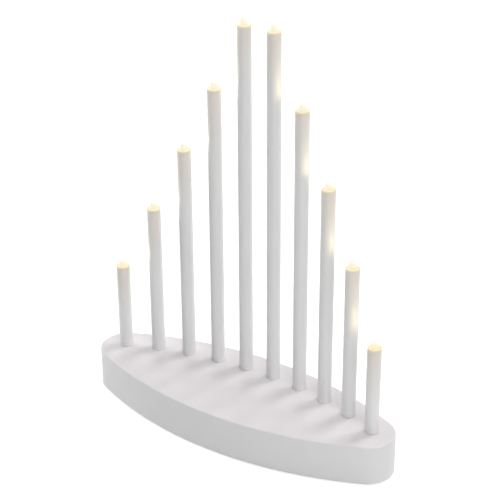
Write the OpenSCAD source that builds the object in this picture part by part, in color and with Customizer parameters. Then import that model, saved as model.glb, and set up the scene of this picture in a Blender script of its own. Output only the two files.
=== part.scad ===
// Battery candle holder: an oval base with ten slim tubes on an arc, one lamp on each tube.
// Millimetres, +Z up. The origin is on the table under the middle of the base, +X runs
// along the base and +Y points to the back, where the arc of tubes bulges.

/* [Base] */
// Length of the oval base from tip to tip
base_length = 247; // [240:1:300]
// Width of the base across its middle
base_width = 84.6; // [76:0.2:110]
// Radius of each rounded tip of the base
tip_radius = 19.8; // [18:0.2:30]
// Height of the base shell without its feet
base_height = 30.5; // [29:0.5:45]
// Thickness of the shell's side wall
wall = 2.2; // [1.6:0.1:2.6]
// Thickness of the shell's top plate
top_plate = 2.5; // [2:0.1:4]
// Radius of the rounded edge between top plate and side wall
edge_radius = 1.2; // [0.6:0.1:1.5]
// Thickness of the bottom cover
cover_plate = 2.4; // [2.2:0.1:3.2]
// Gap between the cover's edge and the side wall
cover_gap = 0.25; // [0.1:0.05:0.4]

/* [Candle tubes] */
// Distance from the axis of each outermost tube to the nearer tip of the base
end_setback = 17.75; // [16:0.25:24]
// Outer diameter of a tube
tube_diameter = 10; // [9:0.5:12]
// Wall thickness of a tube
tube_wall = 0.5; // [0.4:0.1:1]
// Height of the two outermost lamp holders above the base
shortest_height = 67.4; // [40:0.2:120]
// Step in height from each tube to its inner neighbour
height_step = 49.3; // [0:0.1:60]
// Radius of the arc on which the tubes stand, seen from above
row_radius = 268; // [240:1:400]
// Distance from the front edge of the base to the middle of the row
row_from_front = 66.3; // [65:0.1:74]
// Depth to which a tube sits in its socket
socket_depth = 14.5; // [8:0.5:16]
// Wall thickness of a socket
socket_wall = 2; // [1.5:0.1:2.5]
// Gap between a tube and its socket, all round
tube_gap = 0.1; // [0.05:0.05:0.2]

/* [Lamps] */
// Diameter of a lamp's round body
lamp_diameter = 5; // [4:0.5:5]
// Height of a lamp's tip above its holder
lamp_rise = 6; // [4:0.5:8]
// Thickness of the holder's rim, which lies on the tube's end
holder_rim = 1; // [0.6:0.1:2]
// Length of the holder's plug inside the tube
holder_plug = 5; // [4:0.5:10]
// Gap between the holder's plug and the tube
holder_gap = 0.1; // [0.05:0.05:0.2]
// Distance between a lamp's two legs
leg_pitch = 2.54; // [2:0.02:3]

/* [Batteries] */
// Length of an AA cell with its terminal
cell_length = 50.5; // [49.5:0.1:50.5]
// Diameter of an AA cell
cell_diameter = 14.2; // [13.8:0.1:14.5]
// Distance between the axes of neighbouring cells
cell_pitch = 15; // [15:0.1:15.2]
// Length of a contact spring with the cell in place
spring_length = 6.7; // [6:0.1:7.5]
// Thickness of the contact plates
contact_thickness = 0.4; // [0.3:0.1:0.6]
// Wall thickness of the battery bay
bay_wall = 1.6; // [1.2:0.1:1.8]
// Thickness of the battery door
door_plate = 2; // [1.8:0.1:2.2]
// Gap around the battery door
door_gap = 0.3; // [0.2:0.05:0.4]
// Diameter of the door's two hinge stubs
stub_diameter = 1.2; // [1:0.1:1.4]
// Width of the door's latch tongue
latch_width = 12; // [8:1:16]
// Height of the latch tongue above the door
latch_rise = 4; // [3:0.5:5]

/* [Switch and board] */
// Length of the control board
board_length = 34; // [32:1:38]
// Width of the control board
board_width = 24; // [22:1:26]
// Thickness of the control board
board_thickness = 1.6; // [1:0.1:1.6]
// Distance from the battery bay to the board
board_offset = 7.5; // [6.5:0.5:9]
// Length of the slide switch
switch_length = 13; // [12:0.5:15]
// Width of the slide switch
switch_width = 6; // [5.4:0.2:7]
// Height of the slide switch
switch_height = 4.9; // [4.5:0.1:5.5]
// Travel of the knob from its middle to each end
knob_travel = 2; // [1:0.5:2]

/* [Fasteners and feet] */
// Diameter of the cover screws' shanks
screw_diameter = 2.8; // [2.4:0.1:3]
// Length of the cover screws under their heads
screw_length = 9; // [7:0.5:12]
// Diameter of the feet
foot_diameter = 10; // [8:0.5:12]
// Height by which the feet stand out of the cover
foot_height = 1; // [0.6:0.1:3]

/* [Hidden] */
tube_count = 10;
tubes = [1:tube_count];
$fn = 96;
// Small overrun that carries a cut clear of a face
over = 0.5;

// Levels above the table
cover_under = foot_height;
cover_top = cover_under + cover_plate;
base_top = cover_under + base_height;
ceiling = base_top - top_plate;
door_top = cover_under + door_plate;

// Plan of the base: two wide discs overlap in a lens, which gives the long flanks, and a
// small disc rounds each tip. The flanks would touch a disc smaller than the tip by tip_proud,
// so flank and tip cross at a shallow angle.
tip_proud = 0.05;
tip_x = base_length / 2 - tip_radius;
touch_radius = tip_radius - tip_proud;
flank_radius = (pow(tip_x, 2) / (base_width / 2 - touch_radius) + touch_radius + base_width / 2) / 2;
flank_y = base_width / 2 - flank_radius;
flank_angle = atan2(tip_x, -flank_y);
flank_facets = 360;
// Half the width of the base at a distance x from its middle, on the flanks
function half_width(x) = flank_y + sqrt(pow(flank_radius, 2) - x * x);
// Half the length of the flanks, on an outline drawn in by an inset
function flank_end(inset) = (flank_radius - inset) * sin(flank_angle);

// Row of tubes
row_y = row_from_front - base_width / 2;
// Distance along the base between neighbouring tubes
tube_spacing = (base_length - 2 * end_setback) / (tube_count - 1);
row_centre_y = row_y - row_radius;
function tube_x(i) = (i - (tube_count + 1) / 2) * tube_spacing;
function tube_angle(i) = asin(tube_x(i) / row_radius);
function tube_y(i) = row_centre_y + row_radius * cos(tube_angle(i));
function holder_top(i) = base_top + shortest_height + height_step * (min(i, tube_count + 1 - i) - 1);
tube_bottom = base_top - socket_depth;
socket_floor = 2;
socket_bottom = tube_bottom - socket_floor;
socket_radius = tube_diameter / 2 + tube_gap + socket_wall;
tube_bore = tube_diameter - 2 * tube_wall;
// Ledge inside the tube's lower end, on the floor of the socket
socket_ledge = 0.7;
wire_hole = tube_bore - 2 * socket_ledge;

// Lamps
lamp_gap = 0.05;
lamp_bore = lamp_diameter + 2 * lamp_gap;
lamp_flange = lamp_diameter + 0.8;
lamp_flange_thickness = 1;
lamp_body_length = 8.6;
// Height of the flange's upper face below the top of the holder
lamp_seat = lamp_body_length - lamp_flange_thickness - lamp_rise;
leg_width = 0.5;
leg_length = 4;

// Wiring
wire_diameter = 1.3;
drop_diameter = 1.1;
// The two bus wires run one under the other, below the sockets
negative_bus_z = socket_bottom - 1.9;
positive_bus_z = negative_bus_z - 2;
// Angle by which a bus wire passes the last tube
bus_overhang = 0.6;
// Distance of each lamp lead from the middle of the board, and from its back edge
lamp_lead_x = 6;
lamp_lead_inset = 3;
battery_lead_inset = 4;

// Battery bay, door and contacts
bay_length = cell_length + spring_length + 2 * contact_thickness;
bay_side_gap = 0.5;
bay_width = 3 * cell_pitch + 2 * bay_side_gap;
ledge = 1.2;
frame_rim = 1.3;
opening_length = bay_length + 2 * ledge;
opening_width = bay_width + 2 * ledge;
frame_length = opening_length + 2 * frame_rim;
frame_width = opening_width + 2 * frame_rim;
frame_thickness = 1.5;
bay_to_socket = 1.5;
bay_y = tube_y(tube_count / 2) - socket_radius - bay_to_socket - frame_width / 2;
cell_seat_gap = 0.3;
cell_z = door_top + cell_seat_gap + cell_diameter / 2;
cell_headroom = 0.5;
bay_ceiling = cell_z + cell_diameter / 2 + cell_headroom;
door_seat = door_top + 0.15;
function cell_y(k) = bay_y + (k - 1) * cell_pitch;
// Direction of the positive end of cell k, counted from the front
function cell_direction(k) = k % 2 == 0 ? 1 : -1;
contact_width = 10;
contact_low = door_seat + 1.5;
contact_high = cell_z + 6;
// Tabs of the output contacts reach through the bay's ceiling
tab_width = 3;
tab_rise = 2.4;
tab_slot_gap = 0.2;
tab_top = bay_ceiling + bay_wall + tab_rise;

// Door hinge, in the thickness of the door at its left edge
hinge_x = -opening_length / 2 + door_gap + door_plate / 2;
hinge_z = cover_under + door_plate / 2;
stub_length = 1.5;
stub_gap = 0.1;
door_end_x = opening_length / 2 - door_gap;
door_width = opening_width - 2 * door_gap;

// Latch: a tongue bent like a U past the door's free edge, in a pocket of the cover
latch_skin = 1;
latch_reach = 3.4;
latch_gap = 0.5;
latch_x = bay_length / 2 + bay_wall + door_gap;
pocket_end_x = latch_x + latch_reach + latch_gap;
pocket_width = latch_width + 2 * door_gap;
pocket_top = door_top + latch_rise + latch_gap;
pocket_wall = 1.2;

// Board and switch
board_x = frame_length / 2 + board_offset + board_length / 2;
board_y = bay_y;
switch_seat_gap = 0.1;
board_under = cover_top + switch_seat_gap + switch_height;
board_over = board_under + board_thickness;
pillar_diameter = 5.5;
pillar_inset = 4;
pillar_x = board_length / 2 - pillar_inset;
pillar_y = board_width / 2 - pillar_inset;
board_screw_diameter = 2;
knob_length = 4;
knob_width = 2.6;
knob_gap = 0.3;
knob_tip = cover_under + 0.5;
knob_slab = 1.4;
switch_skin = 0.6;
well_margin = 3;
well_length = knob_length + 2 * knob_travel + 2 * well_margin;
well_width = 9;
well_depth = 1;

// Fasteners and feet
screw_head_diameter = 5.6;
screw_head_height = 1.3;
screw_sink = 0.1;
screw_gap = 0.2;
pilot_gap = 0.05;
boss_diameter = 7;
boss_to_bay = 3;
// Two screws near the tips and four round the battery bay, each at [x, y]
tip_screw_inset = 33.5;
tip_screw_x = base_length / 2 - tip_screw_inset;
tip_screw_y = -9;
bay_screw_x = frame_length / 2 + boss_diameter / 2 + boss_to_bay;
rear_screw_from_bay = 20;
rear_screw_y = bay_y + rear_screw_from_bay;
boss_to_wall = 3.5;
front_screw_y = wall + boss_to_wall + boss_diameter / 2 - half_width(bay_screw_x);
screw_places = [
    [-tip_screw_x, tip_screw_y], [tip_screw_x, tip_screw_y],
    [-bay_screw_x, front_screw_y], [bay_screw_x, front_screw_y],
    [-bay_screw_x, rear_screw_y], [bay_screw_x, rear_screw_y]];
foot_sink = 0.6;
foot_gap = 0.2;
foot_from_tip = 47.5;
foot_to_wall = 5;
foot_x = base_length / 2 - foot_from_tip;
foot_y = half_width(foot_x) - wall - foot_to_wall - foot_diameter / 2;

// A straight round bar from one point to another
module bar(from, to, diameter) {
    way = to - from;
    translate(from)
        rotate([0, acos(way[2] / norm(way)), atan2(way[1], way[0])])
            cylinder(h = norm(way), d = diameter, $fn = 32);
}

// A round wire through a list of points, with a ball at each bend
module wire(points, diameter) {
    ball = diameter * 1.1;
    for (k = [0:len(points) - 2]) bar(points[k], points[k + 1], diameter);
    for (k = [1:1:len(points) - 2]) translate(points[k]) sphere(d = ball, $fn = 32);
}

// A plate with the plan of the base, drawn in by an inset
module oval_plate(inset, low, high) {
    translate([0, 0, low])
        linear_extrude(height = high - low) {
            intersection() {
                translate([0, flank_y]) circle(r = flank_radius - inset, $fn = flank_facets);
                translate([0, -flank_y]) circle(r = flank_radius - inset, $fn = flank_facets);
                square([2 * flank_end(inset), base_width], center = true);
            }
            for (side = [-1, 1])
                translate([side * tip_x, 0]) circle(r = tip_radius - inset);
        }
}

// A solid disc as high as the shell, with its rounded upper edge and a small bevel below
module edged_disc(radius) {
    bevel = 0.4;
    edge_x = radius - edge_radius;
    edge_z = base_top - edge_radius;
    rotate_extrude() {
        polygon([
            [0, cover_under], [radius - bevel, cover_under], [radius, cover_under + bevel],
            [radius, edge_z], [edge_x, edge_z], [edge_x, base_top], [0, base_top]]);
        intersection() {
            translate([edge_x, edge_z]) circle(r = edge_radius);
            translate([edge_x, edge_z]) square(edge_radius);
        }
    }
}

// The outer form of the shell, solid
module base_form() {
    intersection() {
        translate([0, flank_y, 0]) edged_disc(flank_radius, $fn = flank_facets);
        translate([0, -flank_y, 0]) edged_disc(flank_radius, $fn = flank_facets);
        translate([-flank_end(0), -base_width, 0])
            cube([2 * flank_end(0), 2 * base_width, 2 * base_top]);
    }
    for (side = [-1, 1])
        translate([side * tip_x, 0, 0]) edged_disc(tip_radius);
}

module at_tube(i) {
    translate([tube_x(i), tube_y(i), 0])
        rotate([0, 0, -tube_angle(i)])
            children();
}

module base_shell() {
    color("white")
        difference() {
            union() {
                difference() {
                    base_form();
                    oval_plate(wall, cover_under - over, ceiling);
                }
                for (i = tubes)
                    at_tube(i)
                        translate([0, 0, socket_bottom])
                            cylinder(h = ceiling + over - socket_bottom, r = socket_radius);
                for (place = screw_places)
                    translate([place[0], place[1], cover_top])
                        cylinder(h = ceiling + over - cover_top, d = boss_diameter);
            }
            for (i = tubes)
                at_tube(i) {
                    translate([0, 0, tube_bottom])
                        cylinder(h = socket_depth + over, d = tube_diameter + 2 * tube_gap);
                    translate([0, 0, socket_bottom - over])
                        cylinder(h = socket_floor + 2 * over, d = wire_hole);
                }
            for (place = screw_places)
                translate([place[0], place[1], cover_top - over])
                    cylinder(h = screw_length + over, d = screw_diameter + 2 * pilot_gap);
        }
}

module candle_tube(i) {
    length = holder_top(i) - holder_rim - tube_bottom;
    color("white")
        at_tube(i)
            translate([0, 0, tube_bottom])
                difference() {
                    cylinder(h = length, d = tube_diameter);
                    translate([0, 0, -over])
                        cylinder(h = length + 2 * over, d = tube_bore);
                }
}

// Turned about its own axis: rim on the tube's end, plug inside it, stepped bore for the lamp
module led_holder(i) {
    rim_bevel = 0.25;
    flange_bore = lamp_flange / 2 + 2 * lamp_gap;
    color("ivory")
        at_tube(i)
            translate([0, 0, holder_top(i)])
                rotate_extrude()
                    polygon([
                        [lamp_bore / 2, 0],
                        [tube_diameter / 2 - rim_bevel, 0],
                        [tube_diameter / 2, -rim_bevel],
                        [tube_diameter / 2, -holder_rim],
                        [tube_bore / 2 - holder_gap, -holder_rim],
                        [tube_bore / 2 - holder_gap, -holder_rim - holder_plug],
                        [flange_bore, -holder_rim - holder_plug],
                        [flange_bore, -lamp_seat],
                        [lamp_bore / 2, -lamp_seat]]);
}

module led(i) {
    radius = lamp_diameter / 2;
    color("lightyellow")
        at_tube(i)
            translate([0, 0, holder_top(i)]) {
                rotate_extrude()
                    difference() {
                        union() {
                            translate([0, lamp_rise - radius]) circle(r = radius);
                            translate([0, -lamp_seat])
                                square([radius, lamp_rise - radius + lamp_seat]);
                            translate([0, -lamp_seat - lamp_flange_thickness])
                                square([lamp_flange / 2, lamp_flange_thickness]);
                        }
                        translate([-lamp_body_length, -2 * lamp_body_length])
                            square([lamp_body_length, 4 * lamp_body_length]);
                    }
                for (side = [-1, 1])
                    translate([-leg_width / 2, side * leg_pitch / 2 - leg_width / 2,
                               -lamp_seat - lamp_flange_thickness - leg_length])
                        cube([leg_width, leg_width, leg_length + over]);
            }
}

// Places its children at the hinge stubs' two ends
module at_stub_ends() {
    for (side = [-1, 1])
        translate([hinge_x, bay_y + side * door_width / 2, hinge_z])
            rotate([-90 * side, 0, 0])
                children();
}

module base_cover() {
    color("white")
        difference() {
            union() {
                oval_plate(wall + cover_gap, cover_under, cover_top);
                translate([-frame_length / 2, bay_y - frame_width / 2, door_top])
                    cube([frame_length, frame_width, cover_plate - door_plate + frame_thickness]);
                translate([-bay_length / 2 - bay_wall, bay_y - bay_width / 2 - bay_wall, door_top])
                    cube([bay_length + 2 * bay_wall, bay_width + 2 * bay_wall,
                          bay_ceiling + bay_wall - door_top]);
                translate([door_end_x, bay_y - pocket_width / 2 - pocket_wall, door_top])
                    cube([pocket_end_x + pocket_wall - door_end_x, pocket_width + 2 * pocket_wall,
                          pocket_top + pocket_wall - door_top]);
                for (side = [-1, 1])
                    translate([board_x + side * pillar_x, board_y - side * pillar_y, cover_top - over])
                        cylinder(h = board_under - cover_top + over, d = pillar_diameter);
            }
            translate([-opening_length / 2, bay_y - opening_width / 2, cover_under - over])
                cube([opening_length, opening_width, door_seat - cover_under + over]);
            translate([door_end_x, bay_y - pocket_width / 2, cover_under - over])
                cube([pocket_end_x - door_end_x, pocket_width, door_seat - cover_under + over]);
            translate([bay_length / 2 + bay_wall, bay_y - pocket_width / 2, cover_under])
                cube([pocket_end_x - bay_length / 2 - bay_wall, pocket_width,
                      pocket_top - cover_under]);
            difference() {
                translate([-bay_length / 2, bay_y - bay_width / 2, cover_under])
                    cube([bay_length, bay_width, bay_ceiling - cover_under]);
                cell_dividers();
            }
            at_stub_ends()
                translate([0, 0, -over])
                    cylinder(h = stub_length + 2 * stub_gap + door_gap + over,
                             d = stub_diameter + 2 * stub_gap);
            contact_slots();
            switch_slot();
            board_pilot_holes();
            for (place = screw_places)
                translate([place[0], place[1], cover_under - over]) {
                    cylinder(h = cover_plate + 2 * over, d = screw_diameter + 2 * screw_gap);
                    cylinder(h = screw_sink + screw_head_height + over,
                             d = screw_head_diameter + 2 * screw_gap);
                }
            at_feet()
                translate([0, 0, cover_under - over])
                    cylinder(h = foot_sink + over, d = foot_diameter + 2 * foot_gap);
            finger_scoop();
        }
}

// Two low fins that keep the cells apart
module cell_dividers() {
    fin = 1;
    drop = 4;
    length = bay_length - 2 * spring_length;
    for (side = [-1, 1])
        translate([-length / 2, bay_y + side * cell_pitch / 2 - fin / 2, bay_ceiling - drop])
            cube([length, fin, drop + over]);
}

module contact_slots() {
    for (end = [[1, 0], [-1, 2]])
        translate([end[0] * (bay_length / 2 - contact_thickness / 2), cell_y(end[1]), bay_ceiling - over])
            translate([-contact_thickness / 2 - tab_slot_gap, -tab_width / 2 - tab_slot_gap, 0])
                cube([contact_thickness + 2 * tab_slot_gap, tab_width + 2 * tab_slot_gap,
                      bay_wall + 2 * over]);
}

// Slot for the knob, at the bottom of a shallow well for the fingertip
module switch_slot() {
    slot_length = knob_length + 2 * knob_travel + 2 * knob_gap;
    slot_width = knob_width + 2 * knob_gap;
    translate([board_x - slot_length / 2, board_y - slot_width / 2, cover_under])
        cube([slot_length, slot_width, cover_plate + over]);
    translate([board_x - well_length / 2, board_y - well_width / 2, cover_under - over])
        cube([well_length, well_width, well_depth + over]);
}

module board_pilot_holes() {
    for (side = [-1, 1])
        translate([board_x + side * pillar_x, board_y - side * pillar_y, cover_top])
            cylinder(h = board_under - cover_top + over, d = board_screw_diameter + 2 * pilot_gap);
}

// Shallow scoop in the cover where a fingertip reaches the latch
module finger_scoop() {
    scoop_radius = 6;
    scoop_depth = 1.2;
    translate([pocket_end_x, bay_y, cover_under - over])
        cylinder(h = scoop_depth + over, r = scoop_radius);
}

module at_feet() {
    for (x = [-foot_x, foot_x])
        for (y = [-foot_y, foot_y])
            translate([x, y, 0]) children();
}

// The latch in section, along X and Z: a root that joins the plate, an inner leg, a bend and
// an outer leg with a small barb
module latch_section() {
    barb = 0.2;
    root_x = door_end_x - latch_x - over;
    top = door_plate + latch_rise;
    bevel = latch_skin / 2;
    polygon([
        [root_x, 0], [root_x, door_plate], [0, door_plate],
        [0, top - bevel], [bevel, top], [latch_reach - bevel, top], [latch_reach, top - bevel],
        [latch_reach, door_plate + 1], [latch_reach + barb, door_plate + 0.5],
        [latch_reach, door_plate], [latch_reach, 0], [latch_reach - latch_skin, 0],
        [latch_reach - latch_skin, top - latch_skin], [latch_skin, top - latch_skin],
        [latch_skin, 0]]);
}

// Plate with a rounded hinge edge, two stubs and a latch
module battery_door() {
    stub_root = 0.5;
    color("white")
        union() {
            translate([hinge_x, bay_y - door_width / 2, cover_under])
                cube([door_end_x - hinge_x, door_width, door_plate]);
            translate([hinge_x, bay_y - door_width / 2, hinge_z])
                rotate([-90, 0, 0])
                    cylinder(h = door_width, d = door_plate);
            at_stub_ends()
                translate([0, 0, -stub_root])
                    cylinder(h = stub_root + stub_length, d = stub_diameter);
            translate([latch_x, bay_y + latch_width / 2, cover_under])
                rotate([90, 0, 0])
                    linear_extrude(height = latch_width)
                        latch_section();
        }
}

// Cell k lies along X, with its positive end towards cell_direction(k)
module battery(k) {
    nub_length = 1;
    nub_diameter = 5.4;
    shoulder = 0.5;
    radius = cell_diameter / 2;
    body_length = cell_length - nub_length;
    color("dimgray")
        translate([cell_direction(k) * (bay_length / 2 - contact_thickness), cell_y(k), cell_z])
            rotate([0, -90 * cell_direction(k), 0])
                rotate_extrude()
                    polygon([
                        [0, 0],
                        [nub_diameter / 2, 0],
                        [nub_diameter / 2, nub_length],
                        [radius - shoulder, nub_length],
                        [radius, nub_length + shoulder],
                        [radius, cell_length - shoulder],
                        [radius - shoulder, cell_length],
                        [0, cell_length]]);
}

// A contact plate against one end wall of the bay, spanning the cells from first to last
module contact_plate(end, first, last) {
    low_y = cell_y(first) - contact_width / 2;
    high_y = cell_y(last) + contact_width / 2;
    translate([end * (bay_length / 2 - contact_thickness / 2), (low_y + high_y) / 2,
               (contact_low + contact_high) / 2])
        cube([contact_thickness, high_y - low_y, contact_high - contact_low], center = true);
}

module output_contact(end, k) {
    color("silver") {
        contact_plate(end, k, k);
        translate([end * (bay_length / 2 - contact_thickness / 2) - contact_thickness / 2,
                   cell_y(k) - tab_width / 2, contact_high - over])
            cube([contact_thickness, tab_width, tab_top - contact_high + over]);
    }
}

module bridge_contact(end, first) {
    color("silver") contact_plate(end, first, first + 1);
}

// Conical coil between a cell's flat end and its contact plate
spring_turns = 3.5;
spring_wire = 0.8;
spring_wide = 4.4;
spring_narrow = 2.6;
spring_sides = 6;
spring_rings_per_turn = 8;
spring_rings = spring_turns * spring_rings_per_turn;
function spring_radius(t) = spring_wide + (spring_narrow - spring_wide) * t;
function spring_height(t) = spring_wire / 2 + (spring_length - spring_wire) * t;
function spring_point(t) = [
    spring_radius(t) * cos(360 * spring_turns * t),
    spring_radius(t) * sin(360 * spring_turns * t),
    spring_height(t)];
function spring_ring(t) = [
    for (s = [0:spring_sides - 1])
    let (a = 360 * s / spring_sides, turn = 360 * spring_turns * t)
    spring_point(t) + spring_wire / 2 * [cos(a) * cos(turn), cos(a) * sin(turn), sin(a)]];
spring_gaps = [
    for (j = [0:spring_rings]) for (k = [j + spring_rings_per_turn / 2:1:spring_rings])
    norm(spring_point(j / spring_rings) - spring_point(k / spring_rings)) - spring_wire];
echo(least_gap_between_spring_turns = min(spring_gaps));

module contact_spring() {
    points = [for (j = [0:spring_rings]) each spring_ring(j / spring_rings)];
    last = spring_rings * spring_sides;
    sides = [
        for (j = [0:spring_rings - 1]) for (s = [0:spring_sides - 1])
        let (a = j * spring_sides + s, b = j * spring_sides + (s + 1) % spring_sides)
        each [[a, b + spring_sides, b], [a, a + spring_sides, b + spring_sides]]];
    first_cap = [for (s = [1:spring_sides - 2]) [0, s, s + 1]];
    last_cap = [for (s = [1:spring_sides - 2]) [last, last + s + 1, last + s]];
    polyhedron(points = points, faces = concat(sides, first_cap, last_cap));
}

module contact_springs() {
    color("silver")
        for (k = [0:2])
            translate([-cell_direction(k) * (bay_length / 2 - contact_thickness), cell_y(k), cell_z])
                rotate([0, 90 * cell_direction(k), 0])
                    contact_spring();
}

module control_board() {
    color("seagreen")
        difference() {
            translate([board_x - board_length / 2, board_y - board_width / 2, board_under])
                cube([board_length, board_width, board_thickness]);
            for (side = [-1, 1])
                translate([board_x + side * pillar_x, board_y - side * pillar_y, board_under - over])
                    cylinder(h = board_thickness + 2 * over, d = board_screw_diameter + 2 * screw_gap);
        }
}

// Eight-legged timer chip in the middle of the board
module timer_chip() {
    body = [5, 4, 1.5];
    leg_gap = 1.27;
    leg = [0.4, 6, 0.3];
    color("black")
        translate([board_x, board_y, board_over]) {
            translate([-body[0] / 2, -body[1] / 2, 0.1]) cube(body);
            for (k = [0:3])
                translate([(k - 1.5) * leg_gap - leg[0] / 2, -leg[1] / 2, 0]) cube(leg);
        }
}

// Crystal, capacitor and three resistors, standing on the board
module board_parts() {
    crystal_diameter = 2;
    crystal_length = 6;
    capacitor_diameter = 5;
    capacitor_height = 7;
    resistor = [3.2, 1.6, 0.6];
    color("gainsboro")
        translate([board_x, board_y, board_over]) {
            translate([-crystal_length / 2, 6, crystal_diameter / 2])
                rotate([0, 90, 0]) cylinder(h = crystal_length, d = crystal_diameter);
            translate([9, -3, 0]) cylinder(h = capacitor_height, d = capacitor_diameter);
            for (k = [0:2])
                translate([-2 + (k - 1) * 4.5, -8, 0]) cube(resistor);
        }
}

module switch_body() {
    inside = [switch_length - 2 * switch_skin, switch_width - 2 * switch_skin, knob_slab + 2 * knob_gap];
    slot_length = knob_length + 2 * knob_travel + 2 * knob_gap;
    slot_width = knob_width + 2 * knob_gap;
    low = board_under - switch_height;
    color("silver")
        difference() {
            translate([board_x - switch_length / 2, board_y - switch_width / 2, low])
                cube([switch_length, switch_width, switch_height]);
            translate([board_x - inside[0] / 2, board_y - inside[1] / 2, low + switch_skin])
                cube(inside);
            translate([board_x - slot_length / 2, board_y - slot_width / 2, low - over])
                cube([slot_length, slot_width, switch_skin + 2 * over]);
        }
}

// Slab that slides inside the switch body, with a thumb piece that reaches down through the slots
module switch_knob() {
    slab_length = switch_length - 2 * switch_skin - 2 * knob_travel - 2 * knob_gap;
    slab_width = switch_width - 2 * switch_skin - 2 * knob_gap;
    slab_under = board_under - switch_height + switch_skin + knob_gap;
    grip_pitch = 1;
    grip = 0.4;
    color("dimgray")
        difference() {
            union() {
                translate([board_x - slab_length / 2, board_y - slab_width / 2, slab_under])
                    cube([slab_length, slab_width, knob_slab]);
                translate([board_x - knob_length / 2, board_y - knob_width / 2, knob_tip])
                    cube([knob_length, knob_width, slab_under + knob_slab / 2 - knob_tip]);
            }
            for (k = [-1:1])
                translate([board_x + k * grip_pitch - grip / 2, board_y - knob_width, knob_tip - over])
                    cube([grip, 2 * knob_width, grip + over]);
        }
}

// Bus wire under the tubes, a drop from each lamp leg, and a lead to the board
module lamp_wiring(side, bus_z, lead_x) {
    bus_radius = row_radius + side * leg_pitch / 2;
    bus_sweep = 2 * tube_angle(tube_count) + 2 * bus_overhang;
    lead_from = row_centre_y + sqrt(pow(bus_radius, 2) - pow(lead_x, 2));
    lead_to = board_y + board_width / 2 - lamp_lead_inset;
    leg_end = -lamp_seat - lamp_flange_thickness - leg_length;
    translate([0, row_centre_y, bus_z])
        rotate([0, 0, 90 - bus_sweep / 2])
            rotate_extrude(angle = bus_sweep)
                translate([bus_radius, 0]) circle(d = wire_diameter, $fn = 32);
    for (i = tubes)
        at_tube(i)
            translate([0, side * leg_pitch / 2, bus_z])
                cylinder(h = holder_top(i) + leg_end - bus_z, d = drop_diameter, $fn = 32);
    wire([[lead_x, lead_from, bus_z], [lead_x, lead_to, bus_z], [lead_x, lead_to, board_over]],
         drop_diameter);
}

module positive_wiring() {
    color("red") lamp_wiring(1, positive_bus_z, board_x - lamp_lead_x);
}

module negative_wiring() {
    color("black") lamp_wiring(-1, negative_bus_z, board_x + lamp_lead_x);
}

// Leads from the two output contacts over the bay to the board
module battery_leads() {
    lead_z = tab_top - wire_diameter;
    for (lead = [[1, 0, battery_lead_inset], [-1, 2, 2 * battery_lead_inset]]) {
        tab_face = lead[0] * (bay_length / 2 - contact_thickness / 2) + contact_thickness / 2;
        board_end_x = board_x - board_length / 2 + lead[2];
        board_end_y = board_y + (lead[1] - 1) * (board_width / 2 - battery_lead_inset);
        color(lead[0] > 0 ? "red" : "black")
            wire([[tab_face, cell_y(lead[1]), lead_z],
                  [board_end_x, cell_y(lead[1]), lead_z],
                  [board_end_x, board_end_y, lead_z],
                  [board_end_x, board_end_y, board_over]],
                 wire_diameter);
    }
}

// Pan-head screw, head down at z = 0, with a cross slot in the head
module screw(shank, length, head, head_height) {
    slot = [head * 0.6, head * 0.14, head_height / 2];
    difference() {
        union() {
            cylinder(h = head_height, d = head);
            cylinder(h = head_height + length, d = shank);
        }
        for (turn = [0, 90])
            rotate([0, 0, turn])
                translate([-slot[0] / 2, -slot[1] / 2, -over])
                    cube([slot[0], slot[1], slot[2] + over]);
    }
}

module cover_screws() {
    color("silver")
        for (place = screw_places)
            translate([place[0], place[1], cover_under + screw_sink])
                screw(screw_diameter, screw_length, screw_head_diameter, screw_head_height);
}

module board_screws() {
    head = 3.8;
    head_height = 1.4;
    length = 5;
    color("silver")
        for (side = [-1, 1])
            translate([board_x + side * pillar_x, board_y - side * pillar_y, board_over + head_height])
                rotate([180, 0, 0])
                    screw(board_screw_diameter, length, head, head_height);
}

module feet() {
    bevel = 0.4;
    top = foot_height + foot_sink;
    color("gray")
        at_feet()
            rotate_extrude()
                polygon([
                    [0, 0], [foot_diameter / 2 - bevel, 0], [foot_diameter / 2, bevel],
                    [foot_diameter / 2, top], [0, top]]);
}

for (i = tubes) {
    candle_tube(i);
    led_holder(i);
    led(i);
}
base_shell();
base_cover();
battery_door();
battery(0);  // battery_1
battery(1);  // battery_2
battery(2);  // battery_3
output_contact(1, 0);  // output_contact_positive
output_contact(-1, 2);  // output_contact_negative
bridge_contact(-1, 0);  // bridge_contact_left
bridge_contact(1, 1);  // bridge_contact_right
contact_springs();
control_board();
timer_chip();
board_parts();
switch_body();
switch_knob();
positive_wiring();
negative_wiring();
battery_leads();
cover_screws();
board_screws();
feet();
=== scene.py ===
"""Looks of the battery candle holder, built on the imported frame. The frame is in metres, +Z up."""
import math

import bmesh
import bpy
from mathutils import Matrix, Vector


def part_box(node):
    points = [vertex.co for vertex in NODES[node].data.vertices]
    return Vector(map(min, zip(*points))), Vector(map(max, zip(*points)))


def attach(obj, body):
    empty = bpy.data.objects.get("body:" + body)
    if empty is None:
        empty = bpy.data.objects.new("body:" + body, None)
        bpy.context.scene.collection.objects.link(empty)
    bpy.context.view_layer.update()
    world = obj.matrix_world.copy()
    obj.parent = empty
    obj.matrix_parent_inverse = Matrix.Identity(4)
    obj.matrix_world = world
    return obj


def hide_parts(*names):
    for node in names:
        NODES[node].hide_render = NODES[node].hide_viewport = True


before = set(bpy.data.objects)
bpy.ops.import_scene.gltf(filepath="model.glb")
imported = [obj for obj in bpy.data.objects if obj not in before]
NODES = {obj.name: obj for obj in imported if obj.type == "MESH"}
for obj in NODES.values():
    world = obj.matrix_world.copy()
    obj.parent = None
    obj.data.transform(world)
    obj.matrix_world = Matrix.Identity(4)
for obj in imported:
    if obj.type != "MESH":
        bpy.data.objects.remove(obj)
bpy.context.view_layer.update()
SCENE = bpy.context.scene
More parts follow.
